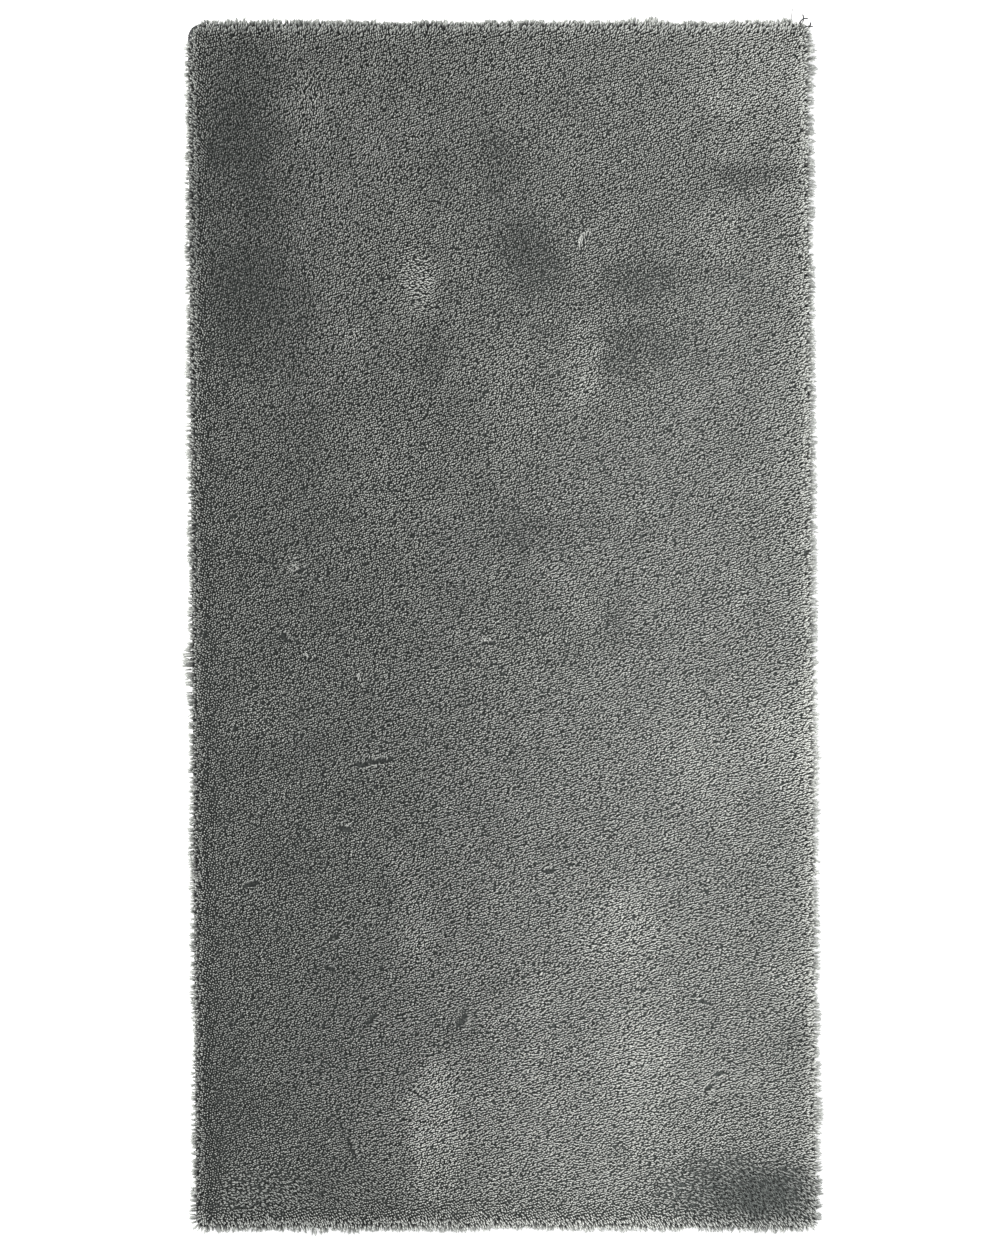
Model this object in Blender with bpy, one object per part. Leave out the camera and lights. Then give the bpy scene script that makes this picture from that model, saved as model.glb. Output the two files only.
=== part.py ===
"""Shag rug: a woven backing cloth that carries a dense, soft cut pile.

Two pieces are made. The backing is a thin flat cloth that lies on the floor. The pile is one lumpy slab on top
of it, a little lower along its rim, where its outer locks lean out over the cloth's edge and hang towards the
floor. The origin is on the floor under the middle of the rug. X runs across the rug, Y along it and Z up.
"""

import math
import random

import bmesh
import bpy
from mathutils import Matrix, Vector, noise

# Backing cloth, in metres.
CLOTH_WIDTH = 0.768
CLOTH_LENGTH = 1.492
CLOTH_THICKNESS = 0.0025
CORNER_RADIUS = 0.012
CUT_CORNER_RADIUS = 0.017  # the far left corner is cut rounder than the others
CORNER_STEPS = 4
SKEW = 0.0105  # how far the rug's far end lies to the left of its near end

# Pile slab.
SEAM = 0.0003  # gap between the cloth and the pile
CLOTH_MARGIN = 0.002  # strip of cloth left bare round the roots of the pile
PILE_TOP = 0.0315  # usual height of the pile above the floor
RIM_DROP = 0.007  # how much lower the pile is at its rim
RIM_WIDTH = 0.040  # how far in from the rim the pile has its usual height
LOCK_ROOT = 0.012  # height of the lower edge of the rim's locks
LUMP_SIZE = 0.045
LUMP_HEIGHT = 0.0042
CELLS_ACROSS = 40
CELLS_ALONG = 78

# Locks at the rim: each grows out of one cell of the slab's upper wall, in two steps.
LOCK_REACH = 0.0058  # how far a usual lock stands out past the slab
LOCK_UNEVEN = 0.0014
KNEE_SHARE = 0.55  # the first step's share of the reach
KNEE_DROP = 0.002
KNEE_SCALE = 0.74
TIP_SCALE = 0.36
TIP_HEIGHT = 0.0075
TIP_UNEVEN = 0.0010
SIDE_SWAY = 0.0020
CORNER_SPREAD = 0.8  # how much the locks beside a corner turn towards it
LOCK_SEED = 11

# Tufts that stand out further than their neighbours: side of the rug, place along that side, reach and spread.
LONG_TUFTS = [
    {"side": "left", "along": -0.040, "more": 0.0042, "spread": 0.016},
    {"side": "left", "along": 0.505, "more": 0.0012, "spread": 0.030},
    {"side": "left", "along": -0.585, "more": 0.0025, "spread": 0.022},
    {"side": "left", "along": -0.700, "more": 0.0030, "spread": 0.020},
    {"side": "right", "along": -0.605, "more": 0.0022, "spread": 0.014},
    {"side": "right", "along": 0.690, "more": 0.0030, "spread": 0.030},
    {"side": "far", "along": 0.165, "more": 0.0040, "spread": 0.030},
    {"side": "far", "along": 0.360, "more": 0.0040, "spread": 0.016},
    {"side": "far", "along": -0.255, "more": 0.0030, "spread": 0.018},
    {"side": "near", "along": -0.265, "more": 0.0035, "spread": 0.016},
    {"side": "near", "along": 0.250, "more": 0.0030, "spread": 0.030},
    {"side": "near", "along": 0.235, "more": -0.0060, "spread": 0.012},
]

# Broad places where the pile lies higher or lower: middle, half sizes across and along, and height.
SWELLS = [
    {"x": 0.038, "y": 0.508, "across": 0.045, "along": 0.090, "height": -0.0030},
    {"x": 0.196, "y": 0.370, "across": 0.045, "along": 0.080, "height": -0.0030},
    {"x": 0.330, "y": 0.546, "across": 0.050, "along": 0.022, "height": -0.0035},
    {"x": 0.019, "y": 0.113, "across": 0.035, "along": 0.035, "height": -0.0025},
    {"x": 0.126, "y": 0.014, "across": 0.035, "along": 0.035, "height": -0.0025},
    {"x": -0.051, "y": -0.100, "across": 0.035, "along": 0.040, "height": -0.0025},
    {"x": -0.160, "y": -0.170, "across": 0.035, "along": 0.022, "height": -0.0035},
    {"x": -0.060, "y": -0.494, "across": 0.032, "along": 0.024, "height": -0.0035},
    {"x": -0.165, "y": -0.481, "across": 0.032, "along": 0.024, "height": -0.0030},
    {"x": 0.295, "y": -0.685, "across": 0.090, "along": 0.030, "height": -0.0035},
    {"x": -0.200, "y": -0.700, "across": 0.060, "along": 0.028, "height": -0.0025},
    {"x": 0.275, "y": -0.139, "across": 0.080, "along": 0.075, "height": 0.0018},
    {"x": 0.156, "y": -0.461, "across": 0.060, "along": 0.110, "height": 0.0018},
    {"x": -0.200, "y": 0.360, "across": 0.060, "along": 0.070, "height": 0.0015},
    {"x": -0.090, "y": -0.629, "across": 0.030, "along": 0.075, "height": 0.0018},
]

PILE_GREY = (0.165, 0.170, 0.163, 1.0)
CLOTH_GREY = (0.075, 0.078, 0.080, 1.0)
YARN_ROUGHNESS = 0.95
SHARP_ANGLE = math.radians(50)
UP = Vector((0.0, 0.0, 1.0))


def clear_scene():
    for old in list(bpy.data.objects):
        bpy.data.objects.remove(old)


def fabric_material(name, colour):
    material = bpy.data.materials.new(name)
    material.use_nodes = True
    shader = material.node_tree.nodes["Principled BSDF"]
    shader.inputs["Base Color"].default_value = colour
    shader.inputs["Roughness"].default_value = YARN_ROUGHNESS
    shader.inputs["Metallic"].default_value = 0.0
    return material


def add_piece(name, bm, material, collection):
    """Turns a finished bmesh into a named object of the rug."""
    mesh = bpy.data.meshes.new(name)
    bm.to_mesh(mesh)
    bm.free()
    mesh.shade_smooth()
    mesh.set_sharp_from_angle(angle=SHARP_ANGLE)
    mesh.materials.append(material)
    piece = bpy.data.objects.new(name, mesh)
    collection.objects.link(piece)
    return piece


def skewed(point):
    """The same point once the rug's far end has slipped to the left and its near end to the right."""
    return Vector((point.x - SKEW * point.y / CLOTH_LENGTH, point.y, point.z))


def corner_radius(x, y):
    return CUT_CORNER_RADIUS if x < 0 < y else CORNER_RADIUS


def backing(material, collection):
    """A flat cloth with rounded corners."""
    bm = bmesh.new()
    size = Matrix.Diagonal((CLOTH_WIDTH, CLOTH_LENGTH, CLOTH_THICKNESS, 1.0))
    bmesh.ops.create_cube(bm, size=1.0, matrix=Matrix.Translation((0, 0, CLOTH_THICKNESS / 2)) @ size)
    upright = [edge for edge in bm.edges if abs(edge.verts[0].co.z - edge.verts[1].co.z) > CLOTH_THICKNESS / 2]
    for edge in upright:
        at = edge.verts[0].co
        bmesh.ops.bevel(
            bm,
            geom=[edge],
            offset=corner_radius(at.x, at.y),
            segments=CORNER_STEPS,
            profile=0.5,
            affect="EDGES",
            material=-1,
        )
    for vert in bm.verts:
        vert.co = skewed(vert.co)
    return add_piece("backing", bm, material, collection)


def lumps(x, y):
    """Height of the pile's clumps and broad swells over its usual top."""
    clump = LUMP_HEIGHT * noise.noise(Vector((x / LUMP_SIZE, y / LUMP_SIZE, 0.0)))
    for swell in SWELLS:
        across = (x - swell["x"]) / swell["across"]
        along = (y - swell["y"]) / swell["along"]
        clump += swell["height"] * math.exp(-across * across - along * along)
    return clump


def pile_height(x, y, half_width, half_length):
    """Height of the pile's top. It rolls down towards the rim."""
    inward = min(half_width - abs(x), half_length - abs(y)) / RIM_WIDTH
    roll = (1.0 - min(max(inward, 0.0), 1.0)) ** 2
    return PILE_TOP - RIM_DROP * roll + lumps(x, y)


def rounded(x, y, half_width, half_length):
    """Pulls a point of the slab's outline in to the rounded corner."""
    radius = corner_radius(x, y)
    centre = Vector((math.copysign(half_width - radius, x), math.copysign(half_length - radius, y)))
    arm = Vector((x, y)) - centre
    past_corner = arm.x * centre.x > 0 and arm.y * centre.y > 0
    if not past_corner or arm.length <= radius:
        return x, y
    inside = centre + arm.normalized() * radius
    return inside.x, inside.y


def side_of(out):
    """Which side of the rug faces this way."""
    if abs(out.x) > abs(out.y):
        return "right" if out.x > 0 else "left"
    return "far" if out.y > 0 else "near"


def extra_reach(centre, out):
    """How much further than usual the tufts at this place of the rim stand out."""
    side = side_of(out)
    along = centre.y if side in ("left", "right") else centre.x
    return sum(
        tuft["more"] * math.exp(-(((along - tuft["along"]) / tuft["spread"]) ** 2))
        for tuft in LONG_TUFTS
        if tuft["side"] == side
    )


def turn_round_rug(face):
    """The direction in which a face of the rim lies, seen from the rug's middle."""
    centre = face.calc_center_median()
    return math.atan2(centre.y, centre.x)


def lock_direction(face, half_width, half_length):
    """The level way out of the rim, turned towards the corner on the locks beside it."""
    centre = face.calc_center_median()
    out = Vector((face.normal.x, face.normal.y, 0.0)).normalized()
    cell = 2 * half_width / CELLS_ACROSS
    beside = half_width - abs(centre.x) < cell and half_length - abs(centre.y) < cell
    if beside:
        towards = Vector((math.copysign(1.0, centre.x), math.copysign(1.0, centre.y), 0.0))
        out = (out + CORNER_SPREAD * towards.normalized()).normalized()
    return out


def grow(bm, face, step, scale):
    """Extrudes a face, moves it by a step and draws it in about its middle."""
    tip = bmesh.ops.extrude_discrete_faces(bm, faces=[face])["faces"][0]
    middle = tip.calc_center_median()
    for vert in tip.verts:
        vert.co = middle + step + (vert.co - middle) * scale
    return tip


def add_locks(bm, roots, half_width, half_length):
    """The rim's locks, which lean out over the cloth's edge and hang towards the floor."""
    draw = random.Random(LOCK_SEED)
    for root in sorted(roots, key=turn_round_rug):
        middle = root.calc_center_median()
        out = lock_direction(root, half_width, half_length)
        reach = LOCK_REACH + LOCK_UNEVEN * draw.uniform(-1, 1) + extra_reach(middle, out)
        sway = out.cross(UP) * draw.uniform(-SIDE_SWAY, SIDE_SWAY)
        fall = middle.z - KNEE_DROP - TIP_HEIGHT + TIP_UNEVEN * draw.uniform(-1, 1)
        knee = grow(bm, root, out * reach * KNEE_SHARE + sway / 2 - UP * KNEE_DROP, KNEE_SCALE)
        grow(bm, knee, out * reach * (1 - KNEE_SHARE) + sway / 2 - UP * fall, TIP_SCALE / KNEE_SCALE)


def wall_down(bm, height):
    """Extrudes the open edge of the slab down to a height and returns the new wall's faces."""
    rim = [edge for edge in bm.edges if edge.is_boundary]
    made = bmesh.ops.extrude_edge_only(bm, edges=rim)["geom"]
    for vert in [part for part in made if isinstance(part, bmesh.types.BMVert)]:
        vert.co.z = height
    return [part for part in made if isinstance(part, bmesh.types.BMFace)]


def pile(material, collection):
    """The lumpy slab of the pile, with its locks at the rim."""
    half_width = CLOTH_WIDTH / 2 - CLOTH_MARGIN
    half_length = CLOTH_LENGTH / 2 - CLOTH_MARGIN
    bm = bmesh.new()
    size = Matrix.Diagonal((half_width, half_length, 1.0, 1.0))
    bmesh.ops.create_grid(bm, x_segments=CELLS_ACROSS, y_segments=CELLS_ALONG, size=1.0, matrix=size)
    for vert in bm.verts:
        vert.co.z = pile_height(vert.co.x, vert.co.y, half_width, half_length)
        vert.co.x, vert.co.y = rounded(vert.co.x, vert.co.y, half_width, half_length)
    upper_wall = wall_down(bm, LOCK_ROOT)
    wall_down(bm, CLOTH_THICKNESS + SEAM)
    foot = [edge for edge in bm.edges if edge.is_boundary]
    bmesh.ops.contextual_create(bm, geom=foot)
    bmesh.ops.recalc_face_normals(bm, faces=bm.faces)
    bm.normal_update()
    add_locks(bm, upper_wall, half_width, half_length)
    bmesh.ops.recalc_face_normals(bm, faces=bm.faces)
    for vert in bm.verts:
        vert.co = skewed(vert.co)
    return add_piece("pile", bm, material, collection)


def centre_on_floor(pieces):
    """Moves all pieces alike, so that the origin is under the middle of the rug's overall size."""
    points = [vert.co for piece in pieces for vert in piece.data.vertices]
    middle = Vector(
        (
            (min(p.x for p in points) + max(p.x for p in points)) / 2,
            (min(p.y for p in points) + max(p.y for p in points)) / 2,
            0.0,
        )
    )
    for piece in pieces:
        piece.data.transform(Matrix.Translation(-middle))


def main():
    clear_scene()
    rug = bpy.data.collections.new("shag_rug")
    bpy.context.scene.collection.children.link(rug)
    cloth = backing(fabric_material("backing_cloth", CLOTH_GREY), rug)
    slab = pile(fabric_material("pile_yarn", PILE_GREY), rug)
    centre_on_floor([cloth, slab])


main()
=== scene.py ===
"""Shag rug, dressed: woven backing cloth, overlocked edge and a dense cut pile of single strands.

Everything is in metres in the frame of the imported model: the rug lies on the floor at z = 0, X runs
across it, Y along it towards its far end and Z up. Each strand of the pile is a copy of one small shape,
bent over in the direction in which the nap lies at its root.
"""

import math
from collections import namedtuple

import bmesh
import bpy
import numpy as np
from bpy.props import FloatProperty, FloatVectorProperty, IntProperty, PointerProperty
from mathutils import Matrix, Vector, noise


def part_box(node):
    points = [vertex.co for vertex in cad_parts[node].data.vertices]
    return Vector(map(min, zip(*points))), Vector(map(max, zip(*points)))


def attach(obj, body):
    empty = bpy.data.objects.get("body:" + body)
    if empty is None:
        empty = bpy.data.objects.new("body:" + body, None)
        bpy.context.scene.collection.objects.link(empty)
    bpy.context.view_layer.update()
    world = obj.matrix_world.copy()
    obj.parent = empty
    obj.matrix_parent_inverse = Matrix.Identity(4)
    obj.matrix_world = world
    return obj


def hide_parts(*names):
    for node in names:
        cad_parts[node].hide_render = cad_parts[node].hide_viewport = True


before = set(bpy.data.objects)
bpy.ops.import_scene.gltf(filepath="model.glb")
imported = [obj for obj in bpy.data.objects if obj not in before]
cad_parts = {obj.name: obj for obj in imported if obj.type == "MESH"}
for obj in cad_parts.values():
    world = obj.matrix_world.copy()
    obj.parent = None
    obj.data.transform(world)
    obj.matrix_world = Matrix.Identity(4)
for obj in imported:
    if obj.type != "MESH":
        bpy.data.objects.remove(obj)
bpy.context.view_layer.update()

bl_info = {
    "name": "Shag rug",
    "version": (1, 0, 0),
    "blender": (4, 5, 0),
    "location": "3D View > Sidebar > Rug",
    "description": "Dresses a packed shag rug with its backing cloth, edge stitches and pile",
    "category": "Object",
}

MM = 0.001
BODY = "root"

# The photograph's frame, 1000 by 1250 pixels, and the rug's place in it.
PHOTO_WIDTH = 1000
PHOTO_HEIGHT = 1250
PIXEL = 0.00124  # one pixel of it on the rug, in metres
RUG_MIDDLE = (502.0, 625.0)

# The rug's outline, read from the frame: the cloth's far end lies a little to the left of its near end.
CLOTH_LOW, CLOTH_HIGH = (Vector(corner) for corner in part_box("backing"))
SKEW = 10.5 * MM
CLOTH_MIDDLE = (CLOTH_LOW + CLOTH_HIGH) / 2
HALF_WIDTH = (CLOTH_HIGH.x - CLOTH_LOW.x - SKEW) / 2
HALF_LENGTH = (CLOTH_HIGH.y - CLOTH_LOW.y) / 2
CORNER_RADIUS = 12 * MM
CUT_CORNER_RADIUS = 17 * MM
CLOTH_TOP = CLOTH_HIGH.z
CLOTH_BOTTOM = 0.6 * MM  # the stitches' thread passes under the cloth's edge
THREAD_RISE = 0.3 * MM  # and lies this much above its top

# Name of the strands' own map: tone with the nap's painted light across, height along the strand
# upwards.
YARN_MAP = "OFBake"
TONES = 64

# A place where the pile lies another way. x and y are its middle, wide and long its half sizes across
# and along the rug, in pixels, turned by its turn in degrees. Its edge is soft at 2 and crisp at 8. Laid
# is how much flatter the pile lies there and how much brighter it is painted, as sheen, with painted
# shade where it is below 0, flat how much flatter only, swing its turn against the clock, and messy how
# much its strands cross.
Mark = namedtuple(
    "Mark", "x y wide long laid turned edge swing flat messy", defaults=(0, 3, 0, 0.0, 0.0)
)
MARKS = [
    Mark(x=370, y=250, wide=75, long=170, edge=2, laid=0.08),
    Mark(x=796, y=400, wide=28, long=420, edge=4, laid=0.09),
    Mark(x=715, y=1185, wide=60, long=30, laid=-0.12, messy=0.3),
    Mark(x=660, y=210, wide=150, long=140, edge=2, laid=-0.07),
    Mark(x=520, y=980, wide=150, long=240, edge=2, laid=0.11),
    Mark(x=530, y=1150, wide=150, long=110, edge=4, laid=0.12),
    Mark(x=385, y=500, wide=50, long=75, edge=2, laid=0.09),
    Mark(x=725, y=745, wide=100, long=60, laid=0.12),
    Mark(x=618, y=935, wide=45, long=55, laid=0.12),
    Mark(x=665, y=1045, wide=60, long=55, laid=0.07),
    Mark(x=400, y=1130, wide=34, long=50, laid=0.06),
    Mark(x=800, y=900, wide=26, long=200, edge=4, laid=0.06),
    Mark(x=480, y=680, wide=110, long=60, edge=2, laid=0.05),
    Mark(x=243, y=110, wide=42, long=80, edge=5, laid=-0.17),
    Mark(x=242, y=220, wide=48, long=110, laid=-0.19),
    Mark(x=262, y=312, wide=60, long=65, edge=6, laid=-0.14, swing=10),
    Mark(x=305, y=450, wide=20, long=55, laid=-0.06),
    Mark(x=225, y=1095, wide=24, long=60, laid=-0.12),
    Mark(x=330, y=1185, wide=48, long=20, edge=4, laid=-0.1, swing=-30),
    Mark(x=498, y=165, wide=18, long=40, laid=-0.18, swing=20),
    Mark(x=530, y=258, wide=32, long=44, turned=20, laid=-0.26, swing=10),
    Mark(x=440, y=170, wide=14, long=24, laid=-0.09),
    Mark(x=640, y=282, wide=38, long=22, turned=12, laid=-0.24),
    Mark(x=640, y=350, wide=38, long=34, edge=5, laid=-0.22, swing=10),
    Mark(x=650, y=366, wide=10, long=12, laid=0.16, swing=-40),
    Mark(x=755, y=178, wide=40, long=14, turned=4, laid=-0.24),
    Mark(x=432, y=362, wide=15, long=30, edge=5, laid=-0.12),
    Mark(x=540, y=328, wide=13, long=9, laid=-0.12),
    Mark(x=520, y=535, wide=23, long=27, laid=-0.16),
    Mark(x=612, y=625, wide=13, long=26, laid=-0.13),
    Mark(x=470, y=700, wide=30, long=13, laid=-0.09),
    Mark(x=580, y=652, wide=24, long=12, laid=-0.07),
    Mark(x=490, y=985, wide=13, long=18, laid=-0.08),
    Mark(x=458, y=1025, wide=15, long=15, laid=-0.15),
    Mark(x=368, y=1012, wide=11, long=15, laid=-0.06),
    Mark(x=790, y=1045, wide=20, long=30, laid=-0.12),
    Mark(x=730, y=1188, wide=70, long=34, edge=4, laid=-0.6, swing=-25, flat=0.1, messy=0.2),
    Mark(x=418, y=280, wide=17, long=34, turned=10, edge=4, laid=0.24, swing=-50, flat=0.04),
    Mark(x=462, y=262, wide=10, long=26, laid=0.05),
    Mark(x=310, y=105, wide=14, long=36, laid=0.09, swing=20),
    Mark(x=352, y=352, wide=14, long=28, laid=0.08),
    Mark(x=480, y=362, wide=40, long=24, laid=0.05),
    Mark(x=514, y=405, wide=24, long=60, laid=0.13, swing=10),
    Mark(x=583, y=368, wide=19, long=46, edge=4, laid=0.2),
    Mark(x=565, y=590, wide=14, long=48, turned=35, laid=0.12),
    Mark(x=722, y=230, wide=26, long=24, laid=0.15),
    Mark(x=750, y=80, wide=62, long=56, laid=0.18, swing=-8),
    Mark(x=735, y=590, wide=16, long=32, laid=0.09),
    Mark(x=790, y=735, wide=38, long=55, laid=0.15),
    Mark(x=700, y=785, wide=28, long=55, turned=20, laid=0.08),
    Mark(x=625, y=925, wide=30, long=48, laid=0.11),
    Mark(x=632, y=1060, wide=32, long=62, laid=0.12),
    Mark(x=535, y=1000, wide=15, long=32, laid=0.1),
    Mark(x=500, y=905, wide=22, long=22, laid=0.07),
    Mark(x=414, y=930, wide=18, long=58, edge=4, laid=0.15, swing=10),
    Mark(x=430, y=1132, wide=26, long=76, edge=5, laid=0.25, swing=10),
    Mark(x=265, y=712, wide=26, long=32, laid=0.1),
    Mark(x=782, y=975, wide=22, long=18, laid=0.1),
    Mark(x=252, y=1190, wide=46, long=24, turned=10, laid=-0.19, swing=-35, flat=0.1, messy=0.4),
    Mark(x=775, y=1196, wide=56, long=34, laid=-0.5, swing=-45, flat=0.08, messy=0.4),
    Mark(x=302, y=571, wide=5, long=3, turned=20, edge=4, laid=0.2, swing=120, flat=0.3),
    Mark(x=311, y=659, wide=5, long=2, turned=-20, edge=4, laid=0.12, swing=100, flat=0.25),
    Mark(x=361, y=683, wide=3, long=7, turned=10, edge=4, laid=0.2, swing=60, flat=0.25),
    Mark(x=486, y=645, wide=5, long=2, turned=20, edge=4, laid=0.12, swing=90, flat=0.2),
    Mark(x=587, y=246, wide=4, long=13, edge=4, laid=0.22, swing=60, flat=0.15),
]

# A parting, where the pile falls to both sides of a line, with painted shade along it. x and y are its
# middle and long and wide its half sizes along and across it, in pixels, turned by its turn, and deep is
# its strength.
Parting = namedtuple("Parting", "x y long wide turned deep", defaults=(1.0,))
PARTINGS = [
    Parting(x=372, y=762, long=20, wide=2.2, turned=8),
    Parting(x=342, y=830, long=7, wide=3.5, turned=-20),
    Parting(x=331, y=936, long=6, wide=2.5, turned=30),
    Parting(x=249, y=885, long=7, wide=2.2, turned=10),
    Parting(x=326, y=969, long=6, wide=2.2, turned=-40),
    Parting(x=368, y=1018, long=7, wide=3.5, turned=60),
    Parting(x=458, y=1020, long=8, wide=4, turned=75),
    Parting(x=346, y=1146, long=11, wide=2.6, turned=-65, deep=0.7),
    Parting(x=412, y=1094, long=14, wide=1.8, turned=-30, deep=0.5),
    Parting(x=715, y=1073, long=6, wide=2, turned=10),
    Parting(x=698, y=1001, long=6, wide=2, turned=-10),
    Parting(x=704, y=1088, long=5, wide=2, turned=30),
    Parting(x=546, y=870, long=6, wide=2, turned=20),
    Parting(x=635, y=989, long=6, wide=2, turned=0),
    Parting(x=782, y=142, long=24, wide=1.8, turned=0, deep=0.45),
    Parting(x=786, y=237, long=12, wide=1.8, turned=5, deep=0.45),
    Parting(x=285, y=640, long=7, wide=2.2, turned=-30),
    Parting(x=240, y=1205, long=12, wide=2.2, turned=12, deep=0.7),
    Parting(x=770, y=1178, long=16, wide=2, turned=5, deep=0.6),
]

# Tufts that reach further past the cloth than their neighbours, or less far. x and y are where they
# leave the rug and wide is their half width, in pixels, and more the change of their reach, in mm.
Tuft = namedtuple("Tuft", "x y wide more")
LONG_SIDE_PIXELS = 305  # a tuft further from the rug's middle is on its left or right side
TUFT_FADE = 3  # how slowly a tuft fades across the rim
TUFTS = [
    Tuft(x=186, y=32, wide=10, more=-7.5),
    Tuft(x=197, y=20, wide=9, more=-7),
    Tuft(x=186, y=90, wide=40, more=-1.5),
    Tuft(x=186, y=136, wide=14, more=-2),
    Tuft(x=186, y=435, wide=16, more=2),
    Tuft(x=188, y=575, wide=16, more=-2.5),
    Tuft(x=186, y=658, wide=11, more=8),
    Tuft(x=188, y=685, wide=16, more=4.5),
    Tuft(x=190, y=1038, wide=22, more=-3.5),
    Tuft(x=190, y=1210, wide=14, more=3.5),
    Tuft(x=814, y=56, wide=20, more=3),
    Tuft(x=814, y=240, wide=22, more=-3),
    Tuft(x=817, y=765, wide=18, more=2.5),
    Tuft(x=818, y=990, wide=12, more=-3.5),
    Tuft(x=818, y=1040, wide=12, more=-3),
    Tuft(x=819, y=1110, wide=12, more=3),
    Tuft(x=209, y=20, wide=7, more=3.5),
    Tuft(x=245, y=20, wide=5, more=2.5),
    Tuft(x=282, y=20, wide=12, more=2.5),
    Tuft(x=400, y=20, wide=24, more=-2.5),
    Tuft(x=475, y=20, wide=14, more=-3),
    Tuft(x=637, y=20, wide=8, more=4),
    Tuft(x=656, y=20, wide=7, more=4.5),
    Tuft(x=680, y=20, wide=8, more=-3.5),
    Tuft(x=720, y=20, wide=10, more=-2.5),
    Tuft(x=788, y=20, wide=6, more=2),
    Tuft(x=806, y=24, wide=8, more=-4),
    Tuft(x=312, y=1230, wide=14, more=3),
    Tuft(x=345, y=1230, wide=9, more=2.5),
    Tuft(x=520, y=1230, wide=42, more=-3),
    Tuft(x=688, y=1230, wide=9, more=-4.5),
    Tuft(x=775, y=1230, wide=16, more=2.5),
]

# A side of the rug: the way out of it, how far in from the edge its pile leans outwards, how flat, its
# tone, which is painted light on the pile near it and painted shade where it is below 0, and how much
# further than usual it reaches past the cloth.
RimSide = namedtuple("RimSide", "out_x out_y inwards lean tone more")
RIM_SIDES = [
    RimSide(out_x=-1, out_y=0, inwards=32 * MM, lean=0.19, tone=0.03, more=0.8 * MM),
    RimSide(out_x=1, out_y=0, inwards=12 * MM, lean=0.20, tone=0.0, more=2.5 * MM),
    RimSide(out_x=0, out_y=1, inwards=22 * MM, lean=0.22, tone=-0.19, more=-0.4 * MM),
    RimSide(out_x=0, out_y=-1, inwards=32 * MM, lean=0.30, tone=0.02, more=0),
]


def metres(name, description, default):
    return FloatProperty(name=name, description=description, default=default, unit="LENGTH")


def colour_property(name, description, default):
    return FloatVectorProperty(
        name=name, description=description, default=default, subtype="COLOR", min=0, max=1
    )


class RugSizes(bpy.types.PropertyGroup):
    """Sizes of the rug's yarn and thread."""

    spacing: metres("Strand spacing", "Distance between the strands' roots", 2.8 * MM)
    rim_spacing: metres("Rim spacing", "Distance between the roots at the rim", 2.4 * MM)
    strand_length: metres("Strand length", "Length of a strand of the pile", 32 * MM)
    strand_width: metres("Strand width", "Width of a strand across its middle", 2.3 * MM)
    missing: FloatProperty(
        name="Missing strands", description="Share of strands left out", default=0.04, min=0, max=1
    )
    rim_reach: metres("Rim reach", "How far the outer strands lean past the cloth", 5.6 * MM)
    bed_height: metres("Bed height", "Height of the dense lower pile", 11 * MM)
    thread_width: metres("Thread width", "Width of the edge stitches' thread", 0.8 * MM)
    stitch_pitch: metres("Stitch pitch", "Distance from one edge stitch to the next", 3.0 * MM)
    seed: IntProperty(name="Seed", description="Start of the random draws", default=7, min=0)


class RugColours(bpy.types.PropertyGroup):
    """Colours of the rug and of the stage."""

    # The strands' colours run between these two. The span between them is mostly the nap's painted sheen
    # and shade, and partly the yarn's own uneven tone.
    yarn_dark_and_shaded: colour_property("Dark yarn", "Darkest strands", (0.128, 0.140, 0.133))
    yarn_light_and_sheened: colour_property("Light yarn", "Lightest strands", (0.790, 0.803, 0.765))
    cloth: colour_property("Cloth", "Woven backing cloth", (0.075, 0.078, 0.080))
    thread: colour_property("Thread", "Thread of the edge stitches", (0.022, 0.023, 0.026))
    floor: colour_property("Floor", "Pale floor", (0.86, 0.86, 0.86))


def sizes():
    return bpy.context.scene.rug_sizes


def colours():
    return bpy.context.scene.rug_colours


# --- Helpers ---


def add_object(name, mesh, material):
    piece = bpy.data.objects.new(name, mesh)
    bpy.context.scene.collection.objects.link(piece)
    mesh.materials.append(material)
    return piece


def add_shape(name, bm, material):
    mesh = bpy.data.meshes.new(name)
    bm.to_mesh(mesh)
    bm.free()
    return add_object(name, mesh, material)


def skewed(x, y):
    """A point of the straight rug, moved to where the slightly slipped rug has it."""
    return CLOTH_MIDDLE.x + x - SKEW * y / (2 * HALF_LENGTH), CLOTH_MIDDLE.y + y


def corner_radii(x, y):
    return np.where((x < 0) & (y > 0), CUT_CORNER_RADIUS, CORNER_RADIUS)


def depth_inside(x, y):
    """How far inside the cloth's rounded outline each point lies, and the way out from there."""
    radius = corner_radii(x, y)
    arm_x = np.abs(x) - (HALF_WIDTH - radius)
    arm_y = np.abs(y) - (HALF_LENGTH - radius)
    in_corner = (arm_x > 0) & (arm_y > 0)
    arm = np.hypot(arm_x, arm_y)
    depth = np.where(in_corner, radius - arm, radius - np.maximum(arm_x, arm_y))
    beside = arm_x > arm_y
    out_x = np.where(in_corner, arm_x / np.maximum(arm, 1e-9), beside) * np.sign(x)
    out_y = np.where(in_corner, arm_y / np.maximum(arm, 1e-9), ~beside) * np.sign(y)
    return depth, out_x, out_y


# A smooth random change: by how much, over what distance, and its own layer of the noise.
Drift = namedtuple("Drift", "by over layer")


def drift(change, x, y):
    """A smooth random change at each point."""
    places = (Vector((a / change.over, b / change.over, change.layer)) for a, b in zip(x, y))
    return change.by * np.array([noise.noise(place) for place in places])


# --- Materials ---

SPECULAR = 0.25
WEAVE_PITCH = 1.8 * MM


def new_material(name, roughness):
    material = bpy.data.materials.new(name)
    material.use_nodes = True
    shader = material.node_tree.nodes["Principled BSDF"]
    shader.inputs["Roughness"].default_value = roughness
    shader.inputs["Specular IOR Level"].default_value = SPECULAR
    return material, material.node_tree, shader


def object_place(tree):
    return tree.nodes.new("ShaderNodeTexCoord").outputs["Object"]


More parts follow.
